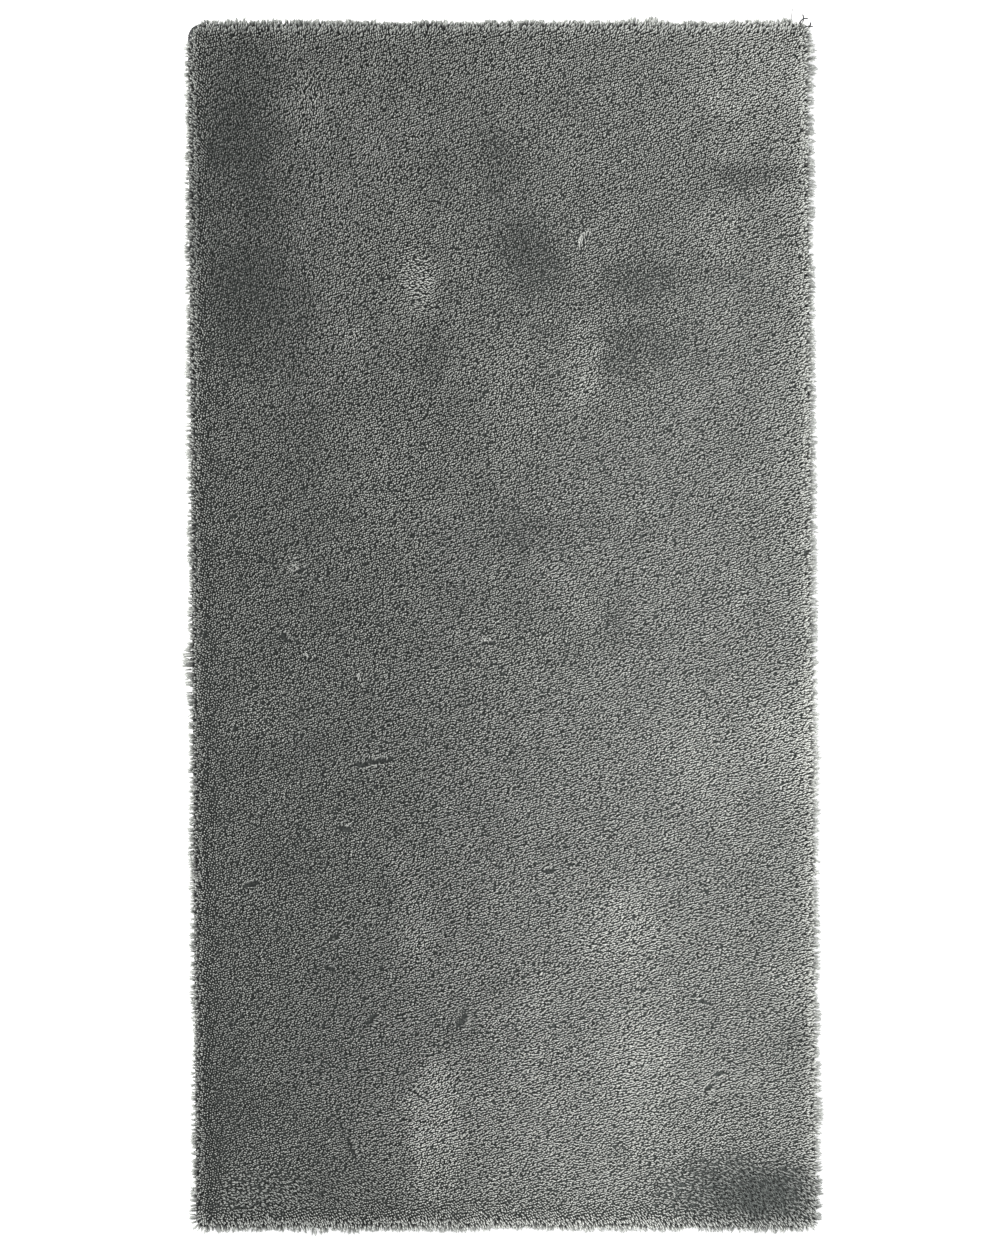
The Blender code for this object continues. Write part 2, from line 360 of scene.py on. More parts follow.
def across_and_up(tree, vector):
    """The first two parts of a vector."""
    split = tree.nodes.new("ShaderNodeSeparateXYZ")
    tree.links.new(vector, split.inputs[0])
    return split.outputs["X"], split.outputs["Y"]


def noise_node(tree, scale, detail=2.0):
    """A Noise Texture laid on the object's own place."""
    node = tree.nodes.new("ShaderNodeTexNoise")
    node.inputs["Scale"].default_value = scale
    node.inputs["Detail"].default_value = detail
    tree.links.new(object_place(tree), node.inputs["Vector"])
    return node.outputs["Fac"]


def math_node(tree, operation, *values):
    """A Math node. Each value is a socket or a number."""
    node = tree.nodes.new("ShaderNodeMath")
    node.operation = operation
    for socket, value in zip(node.inputs, values):
        if isinstance(value, bpy.types.NodeSocket):
            tree.links.new(value, socket)
        else:
            socket.default_value = value
    return node.outputs[0]


def ramp_node(tree, value, stops):
    """A Color Ramp with a stop for each pair of place and colour."""
    node = tree.nodes.new("ShaderNodeValToRGB")
    elements = node.color_ramp.elements
    while len(elements) < len(stops):
        elements.new(0.5)
    for element, (place, colour) in zip(elements, stops):
        element.position = place
        element.color = (*colour, 1.0)
    tree.links.new(value, node.inputs[0])
    return node.outputs[0]


def grey_ramp(tree, value, stops):
    """A Color Ramp of greys with a stop for each pair of place and level."""
    return ramp_node(tree, value, [(place, (level, level, level)) for place, level in stops])


def mixed(tree, blend, share, first, second):
    """Two colours mixed. The second one's share is a socket or a number."""
    mix = tree.nodes.new("ShaderNodeMix")
    mix.data_type = "RGBA"
    mix.blend_type = blend
    if isinstance(share, bpy.types.NodeSocket):
        tree.links.new(share, mix.inputs["Factor"])
    else:
        mix.inputs["Factor"].default_value = share
    tree.links.new(first, mix.inputs[6])
    tree.links.new(second, mix.inputs[7])
    return mix.outputs[2]


def multiplied(tree, first, second):
    return mixed(tree, "MULTIPLY", 1.0, first, second)


def scaled(colour, factor):
    return tuple(channel * factor for channel in colour)


def add_relief(tree, shader, height, strength, distance):
    """Gives the shader a fine relief that follows a height."""
    bump = tree.nodes.new("ShaderNodeBump")
    bump.inputs["Strength"].default_value = strength
    bump.inputs["Distance"].default_value = distance
    tree.links.new(height, bump.inputs["Height"])
    tree.links.new(bump.outputs[0], shader.inputs["Normal"])


def yarn_material():
    """Soft yarn: a strand's lightness lies across its map and its height up it, with painted shade
    towards its root and a painted highlight at its tip.
    """
    material, tree, shader = new_material("pile_yarn", roughness=0.85)
    shader.inputs["Sheen Weight"].default_value = 0.15
    shader.inputs["Sheen Roughness"].default_value = 0.5
    map_node = tree.nodes.new("ShaderNodeUVMap")
    map_node.uv_map = YARN_MAP
    across, up = across_and_up(tree, map_node.outputs[0])
    dark, light = tuple(colours().yarn_dark_and_shaded), tuple(colours().yarn_light_and_sheened)
    tone = ramp_node(tree, across, [(0.0, dark), (1.0, light)])
    # Painted shade between the strands, darker towards each root: dark strands stand up, with deep shade
    # between them, and light ones lie over and look even, with soft shade. The tips are painted
    # brighter.
    deep = grey_ramp(tree, up, [(0.6, 0.03), (0.87, 0.9), (1.0, 1.5)])
    soft = grey_ramp(tree, up, [(0.45, 0.19), (0.79, 0.86), (1.0, 1.06)])
    even = grey_ramp(tree, across, [(0.25, 0.0), (0.85, 1.0)])
    shade = mixed(tree, "MIX", even, deep, soft)
    fleck = grey_ramp(tree, noise_node(tree, scale=850.0, detail=1.0), [(0.36, 0.56), (0.64, 1.28)])
    colour = multiplied(tree, multiplied(tree, tone, shade), fleck)
    tree.links.new(colour, shader.inputs["Base Color"])
    return material


def bed_material():
    """The dense lower pile between the strands: uneven, with painted shade darker than the darkest
    yarn, and painted light that makes it brighter towards the right.
    """
    material, tree, shader = new_material("pile_bed", roughness=0.95)
    dark = tuple(colours().yarn_dark_and_shaded)
    grain = noise_node(tree, scale=400.0)
    # Painted shade: the bed is darker than the darkest strands, unevenly.
    colour = ramp_node(tree, grain, [(0.35, scaled(dark, 0.3)), (0.7, scaled(dark, 0.8))])
    x, _ = across_and_up(tree, object_place(tree))
    # Painted light: brighter towards the right.
    over = math_node(tree, "MULTIPLY_ADD", x, 0.5 / HALF_WIDTH, 0.5)
    painted_light_right = grey_ramp(tree, over, [(0.35, 1.0), (0.75, 1.8)])
    tree.links.new(multiplied(tree, colour, painted_light_right), shader.inputs["Base Color"])
    return material


def cloth_material():
    """Plain weave: warp and weft cross over and under each other."""
    material, tree, shader = new_material("backing_cloth", roughness=0.9)
    x, y = across_and_up(tree, object_place(tree))
    warp = math_node(tree, "SINE", math_node(tree, "MULTIPLY", x, math.pi / WEAVE_PITCH))
    weft = math_node(tree, "SINE", math_node(tree, "MULTIPLY", y, math.pi / WEAVE_PITCH))
    height = math_node(tree, "MULTIPLY_ADD", math_node(tree, "MULTIPLY", warp, weft), 0.5, 0.5)
    cloth = tuple(colours().cloth)
    # Painted shade in the weave: darker where it lies low and brighter where its threads cross over.
    colour = ramp_node(tree, height, [(0.0, scaled(cloth, 0.55)), (1.0, scaled(cloth, 1.5))])
    tree.links.new(colour, shader.inputs["Base Color"])
    add_relief(tree, shader, height, strength=0.6, distance=0.4 * MM)
    return material


def thread_material():
    """Dark twisted thread."""
    material, tree, shader = new_material("edge_thread", roughness=0.7)
    plies = noise_node(tree, scale=900.0)
    thread = tuple(colours().thread)
    # Painted shade in the plies: darker where their relief lies low and brighter where it stands up.
    colour = ramp_node(tree, plies, [(0.35, scaled(thread, 0.6)), (0.65, scaled(thread, 1.4))])
    tree.links.new(colour, shader.inputs["Base Color"])
    add_relief(tree, shader, plies, strength=0.5, distance=0.2 * MM)
    return material


# --- Strands ---

StrandShape = namedtuple("StrandShape", "points corners sizes map")
STRAND_SIDES = 3
FIELD_RINGS = (0.0, 0.74, 1.0)
RIM_RINGS = (0.0, 0.42, 0.80, 1.0)
STRAND_FULLNESS, STRAND_TAPER = 1.12, 0.15  # at its root, and from there to its tip
STRAND_SWAY, TIP_SWING = 0.2 * MM, 0.6 * MM
TIP_START, TIP_SHARE = 0.7, 0.3
GATHER_POWER = 1.5
MAP_MARGIN = 0.03  # at each side of a tone's column on the map

RIM_DEPTH = 12 * MM
TUFT_SIZE = 7.5 * MM
TUFT_MIDDLES = (0.25, 0.75)
ROW_TURN = math.radians(17)  # the rows of roots run aslant, so that they don't show as lines
ROW_SCATTER = 0.16
EDGE_MARGIN = 1 * MM
RIM_WOBBLE = Drift(by=5 * MM, over=0.012, layer=33.0)

# How many strands are missing: fewer to the right and at both ends.
MISSING_MIDDLE, MISSING_LESS_RIGHT = 1.7, 0.7
MISSING_LESS_AT_ENDS, ENDS_POWER = 0.6, 1.5

# The nap stands up at the left, and lies over at the right and near the viewer. Turns are in degrees.
LAID_STEEPNESS, LAID_START, LAID_LESS_FAR, LAID_SHARE = 2.0, 0.1, 0.26, 0.42
LAID_PATCHES = Drift(by=0.10, over=0.045, layer=8.0)
LAID_GRAIN = Drift(by=0.12, over=0.016, layer=21.0)
OPEN_UPRIGHT = 0.06
TURN_MIDDLE, TURN_FAR, TURN_RIGHT = 33, 2, 5
TURN_PATCHES = Drift(by=14, over=0.045, layer=4.0)
LEAN_MIDDLE, LEAN_LAID, LEAN_LESS_FAR = 0.15, 0.06, 0.03
LEAN_PATCHES = Drift(by=0.03, over=0.050, layer=1.0)
# Painted light of the nap: strands are painted brighter where the pile lies over, as its sheen, and a
# little brighter where it stands upright and open.
TONE_LEAST, TONE_LAID, TONE_OPEN, TONE_UPRIGHT = 0.293, 0.86, 0.14, 0.06

# Ragged edges of the brush marks, and in pixels those of the partings.
RAGGED_X = Drift(by=0.010, over=0.030, layer=11.0)
RAGGED_X_FINE = Drift(by=0.004, over=0.010, layer=17.0)
RAGGED_Y = Drift(by=0.010, over=0.030, layer=14.0)
RAGGED_Y_FINE = Drift(by=0.004, over=0.010, layer=19.0)
RAGGED_PARTING = Drift(by=3.0, over=0.009, layer=41.0)
RAGGED_PARTING_FINE = Drift(by=2.5, over=0.004, layer=43.0)
PARTING_SPREAD, PARTING_LEAN = 1.6, 0.18
# How narrow a parting's core is, and how dark the painted shade along it.
PARTING_CORE, PARTING_PAINTED_SHADE = 1.8, 0.22

# The rim's outward lean fades inwards a little unevenly.
RIM_FADE = 1.2
RIM_FADE_CHANGE = Drift(by=0.9, over=0.022, layer=27.0)
RIM_TAKES_OVER = 0.6

# How much the strands differ. Leans and turns are in degrees.
LEAN_SPREAD, LEAN_MESSY = 1.6, 8.0
TURN_SPREAD, TURN_MESSY = 9.0, 22.0
LENGTH_SPREAD, WIDTH_SPREAD, TONE_SPREAD = 0.02, 0.10, 0.07
LEAST_LEAN, MOST_LEAN = math.radians(3), math.radians(135)
WIDER_FAR_RIGHT, NARROWER_OPEN, NARROWER_MESSY = 0.09, 0.2, 0.10
NARROWEST, WIDEST = 0.84, 1.2
LIGHTEST_TONE = 0.999

# Where the pile stands open, some strands have sunk between the others.
SUNK_SHARE, MOST_OPEN, SUNK_LENGTH = 0.5, 0.3, 0.6

# At the rim some strands hang right over the edge, under the others.
HANGING_SHARE, HANGING_POWER = 0.92, 1.6
HANGING_LEAN, HANGING_LEAN_SPREAD, HANGING_TURN_SPREAD = 112, 16, 0.25
HANGING_WIDER = 1.25

# Shares of the rim's reach that strands take, and how they are cut to it.
HANGING_REACH, HANGING_REACH_SPREAD = 1.0, 0.04
OTHER_REACH, OTHER_REACH_SPREAD = 0.72, 0.14
TUFT_REACH = 0.15
CUT_DEPTH = 40 * MM
SHORTEST_REACH = 3 * MM
LEAST_OUTWARD = 0.25
RIM_GATHER = 0.42

# How deep the painted shade towards a strand's root is, from 1 down to 0: less for hanging strands, near
# the rim and where the pile is messy.
HANGING_DEEPENING = 0.35
LESS_DEEP_AT_RIM = 0.75
LESS_DEEP_MESSY, LEAST_DEEP_MESSY = 1.1, 0.4


def strand_shape(rings):
    """One strand with its map: a three-sided spindle from its root to its tip, one unit high."""
    bm = bmesh.new()
    bmesh.ops.create_circle(bm, segments=STRAND_SIDES, radius=1.0)
    root = list(bm.verts)
    top = list(bm.edges)
    for height in rings[1:]:
        made = bmesh.ops.extrude_edge_only(bm, edges=top)["geom"]
        top = [part for part in made if isinstance(part, bmesh.types.BMEdge) and part.is_boundary]
        for vert in {vert for edge in top for vert in edge.verts}:
            vert.co.z = height
    tip = list({vert for edge in top for vert in edge.verts})
    bmesh.ops.pointmerge(bm, verts=root, merge_co=(0.0, 0.0, 0.0))
    bmesh.ops.pointmerge(bm, verts=tip, merge_co=(0.0, 0.0, 1.0))
    bmesh.ops.recalc_face_normals(bm, faces=bm.faces)
    bm.verts.ensure_lookup_table()
    points = np.array([vert.co[:] for vert in bm.verts])
    corners, face_sizes, yarn_map = [], [], []
    for face in bm.faces:
        middle = turn_share(face.calc_center_median())
        face_sizes.append(len(face.verts))
        for vert in face.verts:
            pointed = vert.co.z in (0.0, 1.0)
            share = middle if pointed else turn_share(vert.co)
            share += round(middle - share)
            corners.append(vert.index)
            yarn_map.append((share, vert.co.z))
    bm.free()
    yarn_map = np.array(yarn_map)
    yarn_map[:, 0] -= yarn_map[:, 0].min()
    yarn_map[:, 0] /= yarn_map[:, 0].max()
    return StrandShape(points, np.array(corners), np.array(face_sizes), yarn_map)


def turn_share(point):
    """How far round the strand a point lies, from 0 to 1."""
    return math.atan2(point.y, point.x) / math.tau % 1.0


# Strands in columns, with the depth of the painted shade towards their roots, and gather the way to
# their tuft's middle.
Strands = namedtuple("Strands", "x y lean turn length width tone deepening gather_x gather_y")


def pick(strands, chosen):
    """The strands that are chosen by a mask."""
    return Strands(*(column[chosen] for column in strands))


def pixels_from(mark, x, y):
    """How far each point lies to the right of and above a mark's middle, in the photograph's pixels."""
    right = x / PIXEL + RUG_MIDDLE[0] - mark.x
    return right, y / PIXEL - RUG_MIDDLE[1] + mark.y


def pixels_along(mark, x, y):
    """How far each point lies from a mark's middle along the mark's own two directions."""
    right, above = pixels_from(mark, x, y)
    cos, sin = math.cos(math.radians(mark.turned)), math.sin(math.radians(mark.turned))
    return right * cos + above * sin, above * cos - right * sin


def rim_reach(x, y):
    """How far past the cloth the pile reaches beside each point."""
    _, out_x, out_y = depth_inside(x, y)
    reach = np.full_like(x, sizes().rim_reach)
    for side in RIM_SIDES:
        reach = reach + side.more * np.clip(out_x * side.out_x + out_y * side.out_y, 0, 1) ** 2
    for tuft in TUFTS:
        right, above = pixels_from(tuft, x, y)
        on_long_side = abs(tuft.x - RUG_MIDDLE[0]) > LONG_SIDE_PIXELS
        away = np.hypot(right / TUFT_FADE, above) if on_long_side else np.hypot(right, above / TUFT_FADE)
        reach = reach + tuft.more * MM * np.exp(-((away / tuft.wide) ** 4))
    return reach


def nap(x, y):
    """Each root's lean from 0, upright, to 1, flat, its turn, its painted light and shade, and how open
    and messy it is.
    """
    over, up = x / HALF_WIDTH, y / HALF_LENGTH
    laid = 0.5 + 0.5 * np.tanh(LAID_STEEPNESS * over - LAID_START)
    upright = 1 - laid
    openness = OPEN_UPRIGHT * upright
    laid = laid * (1.0 - LAID_LESS_FAR * up) + drift(LAID_PATCHES, x, y) + drift(LAID_GRAIN, x, 0.5 * y)
    turn = TURN_MIDDLE + TURN_FAR * up - TURN_RIGHT * over + drift(TURN_PATCHES, x, y)
    turn = np.radians(turn)
    ragged_x = x + drift(RAGGED_X, x, y) + drift(RAGGED_X_FINE, x, y)
    ragged_y = y + drift(RAGGED_Y, x, y) + drift(RAGGED_Y_FINE, x, y)
    laid = LAID_SHARE * laid
    flat, messy = np.zeros_like(x), np.zeros_like(x)
    for mark in MARKS:
        ahead, aside = pixels_along(mark, ragged_x, ragged_y)
        share = np.exp(-(np.hypot(ahead / mark.wide, aside / mark.long) ** mark.edge))
        laid = laid + mark.laid * share
        flat = flat + mark.flat * share
        openness = openness - min(mark.laid, 0) * share
        messy = messy + mark.messy * share
        turn = turn + math.radians(mark.swing) * share
    lean = LEAN_MIDDLE + LEAN_LAID * laid - LEAN_LESS_FAR * up + flat + drift(LEAN_PATCHES, x, y)
    tone = TONE_LEAST + TONE_LAID * laid + TONE_OPEN * openness + TONE_UPRIGHT * upright
    right, far = lean * np.cos(turn), lean * np.sin(turn)
    ragged = drift(RAGGED_PARTING, x, y) + drift(RAGGED_PARTING_FINE, x, y)
    for parting in PARTINGS:
        ahead, aside = pixels_along(parting, x, y)
        aside = aside + ragged
        ends = (ahead / parting.long) ** 4
        share = np.exp(-ends - (aside / (PARTING_SPREAD * parting.wide)) ** 2)
        away = PARTING_LEAN * parting.deep * share * np.sign(aside)
        right = right - away * math.sin(math.radians(parting.turned))
        far = far + away * math.cos(math.radians(parting.turned))
        # Painted shade along the parting's core.
        core = np.exp(-ends - (PARTING_CORE * aside / parting.wide) ** 2)
        tone = tone - PARTING_PAINTED_SHADE * parting.deep * core
    fade = RIM_FADE + drift(RIM_FADE_CHANGE, x, y)
    for side in RIM_SIDES:
        inwards = np.where(side.out_x == 0, HALF_LENGTH, HALF_WIDTH) - x * side.out_x - y * side.out_y
        share = np.clip(1 - inwards / side.inwards * fade, 0, 1)
        right = right * (1 - RIM_TAKES_OVER * share) + side.lean * side.out_x * share
        far = far * (1 - RIM_TAKES_OVER * share) + side.lean * side.out_y * share
        # Painted light on the pile near each side, painted shade where its value is below 0.
        tone = tone + side.tone * share
    return np.hypot(right, far), np.arctan2(far, right), tone, openness, messy


def roots(draw, step, shallow, deep):
    """Roots whose depth inside the cloth is in a range, in staggered rows that are a little uneven."""
    reach = math.hypot(HALF_WIDTH, HALF_LENGTH)
    places = np.arange(-reach, reach, step)
    along_row, over_rows = (part.ravel() for part in np.meshgrid(places, places))
    along_row = along_row + 0.5 * step * (np.repeat(np.arange(len(places)), len(places)) % 2)
    along_row = along_row + draw.uniform(-ROW_SCATTER, ROW_SCATTER, along_row.shape) * step
    over_rows = over_rows + draw.uniform(-ROW_SCATTER, ROW_SCATTER, over_rows.shape) * step
    x = along_row * math.cos(ROW_TURN) - over_rows * math.sin(ROW_TURN)
    y = along_row * math.sin(ROW_TURN) + over_rows * math.cos(ROW_TURN)
    depth, _, _ = depth_inside(x, y)
    x, y, depth = (column[depth > EDGE_MARGIN] for column in (x, y, depth))
    wobble = drift(RIM_WOBBLE, x, y)
    kept = (depth + wobble > shallow) & (depth + wobble <= deep) & (depth + rim_reach(x, y) > 0)
    missing = sizes().missing * (MISSING_MIDDLE - MISSING_LESS_RIGHT * x / HALF_WIDTH)
    missing = missing * (1 - MISSING_LESS_AT_ENDS * np.abs(y / HALF_LENGTH) ** ENDS_POWER)
    kept = kept & (draw.uniform(size=x.shape) > missing)
    return x[kept], y[kept]


def tufts(x, y, draw):
    """The way from each root to the middle of its tuft, and how much longer its tuft reaches."""
    cell_x = np.floor((x + HALF_WIDTH) / TUFT_SIZE).astype(int)
    cell_y = np.floor((y + HALF_LENGTH) / TUFT_SIZE).astype(int)
    shape = (cell_x.max() + 1, cell_y.max() + 1)
    shift_x, shift_y = draw.uniform(*TUFT_MIDDLES, shape), draw.uniform(*TUFT_MIDDLES, shape)
    longer = draw.normal(size=shape)
    to_x = (cell_x + shift_x[cell_x, cell_y]) * TUFT_SIZE - HALF_WIDTH - x
    to_y = (cell_y + shift_y[cell_x, cell_y]) * TUFT_SIZE - HALF_LENGTH - y
    return to_x, to_y, longer[cell_x, cell_y]


def laid_strands(draw, step, shallow, deep):
    """Strands with their roots in a range of depth inside the cloth, and the way they lie."""
    x, y = roots(draw, step, shallow, deep)
    depth, out_x, out_y = depth_inside(x, y)
    lean, turn, tone, openness, messy = nap(x, y)
    count = len(x)

    def uneven(spread):
        return spread * draw.normal(size=count)

    lean = np.radians(90 * lean + uneven(LEAN_SPREAD + LEAN_MESSY * messy))
    turn = turn + uneven(np.radians(TURN_SPREAD + TURN_MESSY * messy))
    length = sizes().strand_length * (1 + uneven(LENGTH_SPREAD))
    sunk = draw.uniform(size=count) < SUNK_SHARE * np.minimum(openness, MOST_OPEN)
    length = np.where(sunk, SUNK_LENGTH * length, length)
    wider = WIDER_FAR_RIGHT * y / HALF_LENGTH * (0.5 + 0.5 * x / HALF_WIDTH)
    wider = np.clip(1 + wider - NARROWER_OPEN * openness - NARROWER_MESSY * messy, NARROWEST, WIDEST)
    width = sizes().strand_width * wider * (1 + uneven(WIDTH_SPREAD))
    tone = tone + uneven(TONE_SPREAD)
    near = np.clip(1 - depth / RIM_DEPTH, 0, 1)
    hanging = draw.uniform(size=count) < HANGING_SHARE * near**HANGING_POWER
    hanging_lean = np.radians(HANGING_LEAN + uneven(HANGING_LEAN_SPREAD))
    hanging_turn = np.arctan2(out_y, out_x) + uneven(HANGING_TURN_SPREAD)
    lean = np.clip(np.where(hanging, hanging_lean, lean), LEAST_LEAN, MOST_LEAN)
    turn = np.where(hanging, hanging_turn, turn)
    to_x, to_y, longer = tufts(x, y, draw)
    width = np.where(hanging, HANGING_WIDER * width, width)
    hanging_share = HANGING_REACH + uneven(HANGING_REACH_SPREAD)
    share = np.where(hanging, hanging_share, OTHER_REACH + uneven(OTHER_REACH_SPREAD))
    reach = rim_reach(x, y) + sizes().rim_reach * (share - 1 + TUFT_REACH * longer)
    outward = np.clip(np.cos(turn) * out_x + np.sin(turn) * out_y, LEAST_OUTWARD, 1)
    longest = np.maximum(reach + depth, SHORTEST_REACH) / outward * lean / (1 - np.cos(lean))
    length = np.where(depth < CUT_DEPTH, np.minimum(length, longest), length)
    gather = RIM_GATHER * near
    tone = np.clip(tone, 0.0, LIGHTEST_TONE)
    # Less painted shade towards the roots near the rim, where the pile is messy and on hanging strands.
    rimward = np.clip(1 - depth / (2 * RIM_DEPTH), 0, 1)
    deepening = 1.0 - LESS_DEEP_AT_RIM * np.sqrt(rimward)
    deepening = deepening * np.clip(1 - LESS_DEEP_MESSY * messy, LEAST_DEEP_MESSY, 1)
    deepening = np.where(hanging, HANGING_DEEPENING, deepening)
    return Strands(x, y, lean, turn, length, width, tone, deepening, gather * to_x, gather * to_y)


def bent_points(strands, shape, draw):
    """The shape's points on every strand, which stands up at its root and bends over to its tip."""
    up = shape.points[None, :, 2]
    lean = strands.lean[:, None]
    bend = lean * up
    ahead = strands.length[:, None] * (1 - np.cos(bend)) / lean
    rise = strands.length[:, None] * np.sin(bend) / lean
    count = len(strands.x)
    spin = draw.uniform(0, math.tau, count)[:, None]
    pointed = (up == 0.0) | (up == 1.0)
    fullness = np.where(pointed, 0.0, STRAND_FULLNESS - STRAND_TAPER * up)
    half_width = strands.width[:, None] / 2 * fullness
    around = np.arctan2(shape.points[:, 1], shape.points[:, 0])[None, :] + spin
    aside = half_width * np.cos(around)
    over = half_width * np.sin(around)
    towards_tip = np.clip((up - TIP_START) / TIP_SHARE, 0, 1)
    sway = STRAND_SWAY * draw.normal(size=count)[:, None] * np.sin(math.pi * up)
    swing = TIP_SWING * draw.normal(size=count)[:, None] * towards_tip
    aside = aside + sway + swing
    ahead = ahead - over * np.cos(bend)
    rise = rise + over * np.sin(bend)
    cos, sin = np.cos(strands.turn)[:, None], np.sin(strands.turn)[:, None]
    root_x, root_y = skewed(strands.x, strands.y)
    gathered = up**GATHER_POWER
    x = root_x[:, None] + cos * ahead - sin * aside + strands.gather_x[:, None] * gathered
    y = root_y[:, None] + sin * ahead + cos * aside + strands.gather_y[:, None] * gathered
    return np.stack([x, y, CLOTH_TOP + rise], axis=2)


def strand_mesh(name, groups, draw):
    """One mesh with all strands of the groups, which pair strands with their shape."""
    points, corners, face_sizes, yarn_maps = [], [], [], []
    offset = 0
    for strands, shape in groups:
        count, per_strand = len(strands.x), len(shape.points)
        points.append(bent_points(strands, shape, draw).reshape(-1, 3))
        firsts = per_strand * np.arange(count)[:, None]
        corners.append((shape.corners[None, :] + firsts).ravel() + offset)
        face_sizes.append(np.tile(shape.sizes, count))
        column = np.floor(strands.tone * TONES)[:, None]
        across = (column + MAP_MARGIN + (1 - 2 * MAP_MARGIN) * shape.map[None, :, 0]) / TONES
        # The map's height, bent by each strand's painted shade depth, sets how far the painted shade
        # reaches.
        up = shape.map[None, :, 1] ** strands.deepening[:, None]
        yarn_maps.append(np.stack([across, up], axis=2).reshape(-1, 2))
        offset += count * per_strand
    points, corners = np.concatenate(points), np.concatenate(corners)
    face_sizes, yarn_map = np.concatenate(face_sizes), np.concatenate(yarn_maps)
    mesh = bpy.data.meshes.new(name)
    mesh.vertices.add(len(points))
    mesh.vertices.foreach_set("co", points.ravel())
    mesh.loops.add(len(corners))
    mesh.loops.foreach_set("vertex_index", corners.astype(np.int32))
    mesh.polygons.add(len(face_sizes))
    starts = np.concatenate([[0], np.cumsum(face_sizes)[:-1]])
    mesh.polygons.foreach_set("loop_start", starts.astype(np.int32))
    mesh.update(calc_edges=True)
    layer = mesh.uv_layers.new(name=YARN_MAP)
    layer.data.foreach_set("uv", yarn_map.astype(np.float32).ravel())
    mesh.shade_smooth()
    return mesh


# --- Thread ---

# One stitch of the overlocked edge, as the thread's way up through the cloth, over its edge and back
# under it: along in stitches, out from the edge and up from the floor.
StitchPoint = namedtuple("StitchPoint", "along out up")
STITCH = [
    StitchPoint(along=0.00, out=-4.5 * MM, up=CLOTH_TOP),
    StitchPoint(along=0.15, out=-0.4 * MM, up=CLOTH_TOP),
    StitchPoint(along=0.30, out=0.3 * MM, up=0.5 * CLOTH_TOP),
    StitchPoint(along=0.50, out=-0.6 * MM, up=0.4 * MM),
    StitchPoint(along=0.90, out=-4.5 * MM, up=0.4 * MM),
]
CORNER_POINTS = 8

# A loose end of thread, from x and y to its tip, in the photograph's pixels, bowed aside by its bow.
ThreadEnd = namedtuple("ThreadEnd", "x y tip_x tip_y bow height")
THREAD_ENDS = [
    ThreadEnd(x=795, y=27, tip_x=802, tip_y=16, bow=4, height=26 * MM),
    ThreadEnd(x=799, y=27, tip_x=807, tip_y=20, bow=-3, height=28 * MM),
    ThreadEnd(x=800, y=29, tip_x=810, tip_y=24, bow=4, height=25 * MM),
    ThreadEnd(x=801, y=33, tip_x=812, tip_y=28, bow=-3, height=22 * MM),
]
LOOSE_HAIR = ThreadEnd(x=791, y=30, tip_x=792, tip_y=10, bow=-1, height=33 * MM)
END_POINTS = 9
END_WIDTH = 2.0 * MM
HAIR_WIDTH = 0.9 * MM


def stitch_points():
    """The thread's whole way round the cloth's edge."""
    outline, ways = [], []
    for sign_x, sign_y, start in ((1, 1, 0.0), (-1, 1, 0.25), (-1, -1, 0.5), (1, -1, 0.75)):
        radius = float(corner_radii(sign_x, sign_y))
        centre = Vector((sign_x * (HALF_WIDTH - radius), sign_y * (HALF_LENGTH - radius)))
        for number in range(CORNER_POINTS):
            angle = math.tau * (start + 0.25 * number / (CORNER_POINTS - 1))
            way = Vector((math.cos(angle), math.sin(angle)))
            outline.append(centre + radius * way)
            ways.append(way)
    outline.append(outline[0])
    ways.append(ways[0])
    steps = [(b - a).length for a, b in zip(outline, outline[1:])]
    distances = np.concatenate([[0.0], np.cumsum(steps)])
    stitches = round(distances[-1] / sizes().stitch_pitch)
    shares = [number + part.along for number in range(stitches) for part in STITCH]
    places = [share / stitches * distances[-1] for share in shares]
    x, y, way_x, way_y = (
        np.interp(places, distances, [vector[axis] for vector in vectors])
        for vectors in (outline, ways)
        for axis in (0, 1)
    )
    out = np.tile([part.out for part in STITCH], stitches)
    up = np.tile([part.up for part in STITCH], stitches)
    x, y = skewed(x + way_x * out, y + way_y * out)
    return np.stack([x, y, up], axis=1)


def thread_end_points(end):
    """A loose end's way: up from the cloth's edge and over to its tip, bowed aside."""
    share = np.linspace(0.0, 1.0, END_POINTS)
    step_x, step_y = end.tip_x - end.x, end.tip_y - end.y
    aside = 4 * end.bow * share * (1 - share) / math.hypot(step_x, step_y)
    x = (end.x + step_x * share - step_y * aside - RUG_MIDDLE[0]) * PIXEL
    y = (RUG_MIDDLE[1] - end.y - step_y * share - step_x * aside) * PIXEL
    up = CLOTH_TOP + (end.height - CLOTH_TOP) * np.sqrt(share)
    return np.stack([x, y, up], axis=1)


def thread_mesh(name, routes, width, closed):
    """A round thread along each route, as one mesh."""
    curve = bpy.data.curves.new(name, "CURVE")
    curve.dimensions = "3D"
    curve.bevel_depth = width / 2
    curve.bevel_resolution = 0
    curve.use_fill_caps = not closed
    for route in routes:
        spline = curve.splines.new("POLY")
        spline.points.add(len(route) - 1)
        spline.points.foreach_set("co", np.column_stack([route, np.ones(len(route))]).ravel())
        spline.use_cyclic_u = closed
    holder = bpy.data.objects.new(name, curve)
    bpy.context.scene.collection.objects.link(holder)
    bpy.context.view_layer.update()
    threads = holder.evaluated_get(bpy.context.evaluated_depsgraph_get())
    mesh = bpy.data.meshes.new_from_object(threads)
    bpy.data.objects.remove(holder)
    bpy.data.curves.remove(curve)
    bm = bmesh.new()
    bm.from_mesh(mesh)
    bmesh.ops.remove_doubles(bm, verts=bm.verts, dist=width / 50)
    bmesh.ops.recalc_face_normals(bm, faces=bm.faces)
    bm.to_mesh(mesh)
    bm.free()
    mesh.name = name
    mesh.materials.clear()
    mesh.shade_smooth()
    return mesh


# --- Operators ---

